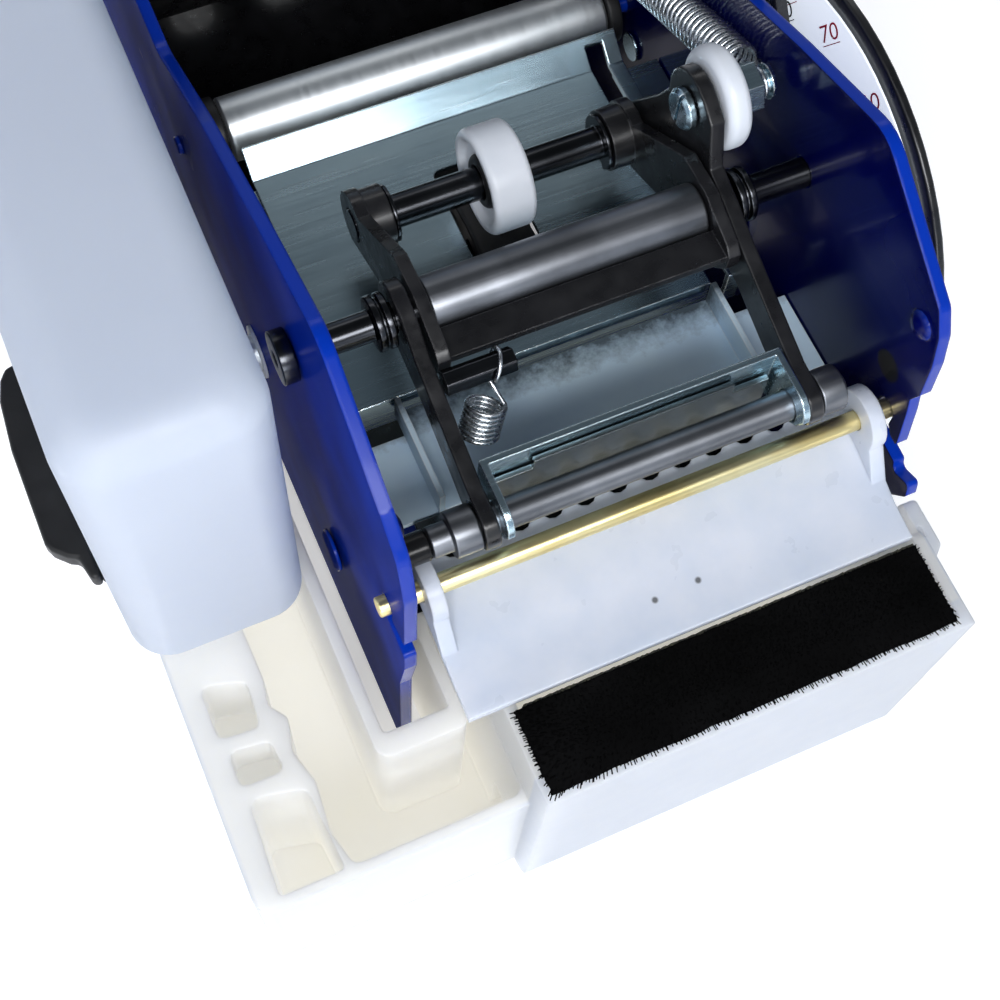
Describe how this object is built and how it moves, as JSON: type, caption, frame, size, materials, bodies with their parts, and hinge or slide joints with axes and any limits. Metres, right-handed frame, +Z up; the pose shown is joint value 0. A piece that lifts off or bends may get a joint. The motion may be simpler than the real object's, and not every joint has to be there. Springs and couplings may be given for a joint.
{
  "type": "gummed tape dispenser",
  "caption": "Hand-lever dispenser for gummed paper tape with a geared feed wheel, length dial, cutter, water tank, brush, refill bottle and roll basket.",
  "frame": {"origin": "on the table, under the middle of the outline", "axes": "+Z up; +Y from the water tank towards the tape basket; +X to the side of the lever"},
  "size_m": [0.1844, 0.393, 0.2622],
  "materials": {
    "blue_paint": "gloss saturated blue enamel",
    "black_paint": "satin black",
    "black_steel": "black oxide, oiled",
    "zinc": "bright zinc plate",
    "bright_steel": "ground steel",
    "spring_steel": "drawn wire",
    "brass": "drawn, unpolished",
    "nylon": "natural white nylon",
    "white_plastic": "moulded white",
    "ivory_plastic": "moulded ivory",
    "bottle_plastic": "milky translucent",
    "black_plastic": "moulded black",
    "bristle": "black bristle",
    "olive_plastic": "dull olive",
    "rubber": "black rubber",
    "paper_label": "white printed label"
  },
  "bodies": {
    "frame": {"left_side_plate": "blue_paint", "right_side_plate": "blue_paint", "base_pan": "black_paint", "front_foot": "rubber", "rear_foot": "rubber", "front_tie": "zinc", "rear_tie": "zinc", "feed_bush_left": "nylon", "feed_bush_right": "nylon", "lever_bush": "nylon", "idler_stud": "zinc", "gauge_plate": "black_paint", "gauge_label": "paper_label", "roller_axle": "zinc", "tape_table": "zinc", "front_table": "zinc", "fixed_blade": "bright_steel", "pivot_shaft": "bright_steel", "spring_anchor": "zinc", "cutter_spring": "spring_steel", "brass_rod": "brass", "tape_basket": "black_paint", "guide_rod": "zinc"},
    "lever": {"lever_shaft": "zinc", "sector_gear": "zinc", "lever_bar": "black_paint", "lever_grip": "black_plastic", "cutter_cam": "black_steel"},
    "idler": {"idler_gear": "bright_steel"},
    "feed": {"feed_shaft": "bright_steel", "feed_hub": "black_plastic", "feed_tyre": "rubber", "feed_pinion": "bright_steel"},
    "pressure_arm": {"pressure_frame": "black_paint", "pressure_shaft": "black_steel", "spacer_tube": "black_steel"},
    "press_wheel": {"pressure_wheel": "nylon"},
    "cutter": {"cutter_left_arm": "black_paint", "cutter_right_arm": "black_paint", "blade_bar": "black_steel", "blade_bracket": "zinc", "moving_blade": "bright_steel", "follower_post": "zinc", "left_stud": "black_steel", "blade_spring": "spring_steel"},
    "follower": {"cam_follower": "nylon"},
    "entry": {"entry_roller": "bright_steel", "roller_cap_left": "black_plastic", "roller_cap_right": "black_plastic"},
    "basket_front": {"basket_roller_front": "zinc"},
    "basket_rear": {"basket_roller_rear": "zinc"},
    "shoe": {"pressure_plate": "white_plastic"},
    "tank": {"water_tank": "ivory_plastic", "bottle_clip": "black_plastic"},
    "brush": {"brush_holder": "olive_plastic", "brush_bristles": "bristle"},
    "bottle": {"water_bottle": "bottle_plastic", "bottle_cap": "black_plastic"},
    "left_guide": {"guide_left": "black_plastic"},
    "right_guide": {"guide_right": "black_plastic"}
  },
  "joints": [
    {"name": "lever_pull", "type": "hinge", "parent": "frame", "child": "lever", "pos_m": [0.01625, -0.0925, 0.067], "axis": [1, 0, 0], "range_deg": [0, 100]},
    {"name": "idler_turn", "type": "hinge", "parent": "frame", "child": "idler", "pos_m": [0.01625, -0.04453, 0.06518], "axis": [1, 0, 0], "range_deg": [-705, 0]},
    {"name": "feed_turn", "type": "hinge", "parent": "frame", "child": "feed", "pos_m": [0.01625, -0.08, 0.053], "axis": [1, 0, 0], "range_deg": [0, 1410]},
    {"name": "pressure_lift", "type": "hinge", "parent": "frame", "child": "pressure_arm", "pos_m": [0.01625, -0.1095, 0.102], "axis": [1, 0, 0], "range_deg": [0, 12]},
    {"name": "pressure_wheel_turn", "type": "hinge", "parent": "pressure_arm", "child": "press_wheel", "pos_m": [0.01625, -0.08, 0.0884], "axis": [1, 0, 0], "continuous": true},
    {"name": "cutter_swing", "type": "hinge", "parent": "frame", "child": "cutter", "pos_m": [0.01625, -0.1095, 0.102], "axis": [1, 0, 0], "range_deg": [0, 9], "stiffness_Nm_per_rad": 1.5, "springref_deg": -11.46, "deforming": ["cutter_spring"]},
    {"name": "follower_turn", "type": "hinge", "parent": "cutter", "child": "follower", "pos_m": [0.01625, -0.095, 0.114], "axis": [1, 0, 0], "continuous": true},
    {"name": "entry_turn", "type": "hinge", "parent": "frame", "child": "entry", "pos_m": [0.01625, -0.0375, 0.072], "axis": [1, 0, 0], "continuous": true},
    {"name": "basket_front_turn", "type": "hinge", "parent": "frame", "child": "basket_front", "pos_m": [0.01625, 0.0373, 0.04647], "axis": [1, 0, 0], "continuous": true},
    {"name": "basket_rear_turn", "type": "hinge", "parent": "frame", "child": "basket_rear", "pos_m": [0.01625, 0.1417, 0.04647], "axis": [1, 0, 0], "continuous": true},
    {"name": "plate_lift", "type": "hinge", "parent": "frame", "child": "shoe", "pos_m": [0.01625, -0.1535, 0.082], "axis": [-1, 0, 0], "range_deg": [0, 70]},
    {"name": "tank_pull", "type": "slide", "parent": "frame", "child": "tank", "axis": [0, -1, 0], "range_m": [0, 0.15]},
    {"name": "brush_lift", "type": "slide", "parent": "tank", "child": "brush", "axis": [0, 0, 1], "range_m": [0, 0.06]},
    {"name": "bottle_lift", "type": "slide", "parent": "tank", "child": "bottle", "axis": [0, 0, 1], "range_m": [0, 0.06]},
    {"name": "left_guide_slide", "type": "slide", "parent": "frame", "child": "left_guide", "axis": [1, 0, 0], "range_m": [0, 0.012]},
    {"name": "right_guide_slide", "type": "slide", "parent": "frame", "child": "right_guide", "axis": [-1, 0, 0], "range_m": [0, 0.012]}
  ],
  "couplings": [
    {"joint": "idler_turn", "follows": "lever_pull", "ratio": -7},
    {"joint": "feed_turn", "follows": "lever_pull", "ratio": 14}
  ]
}
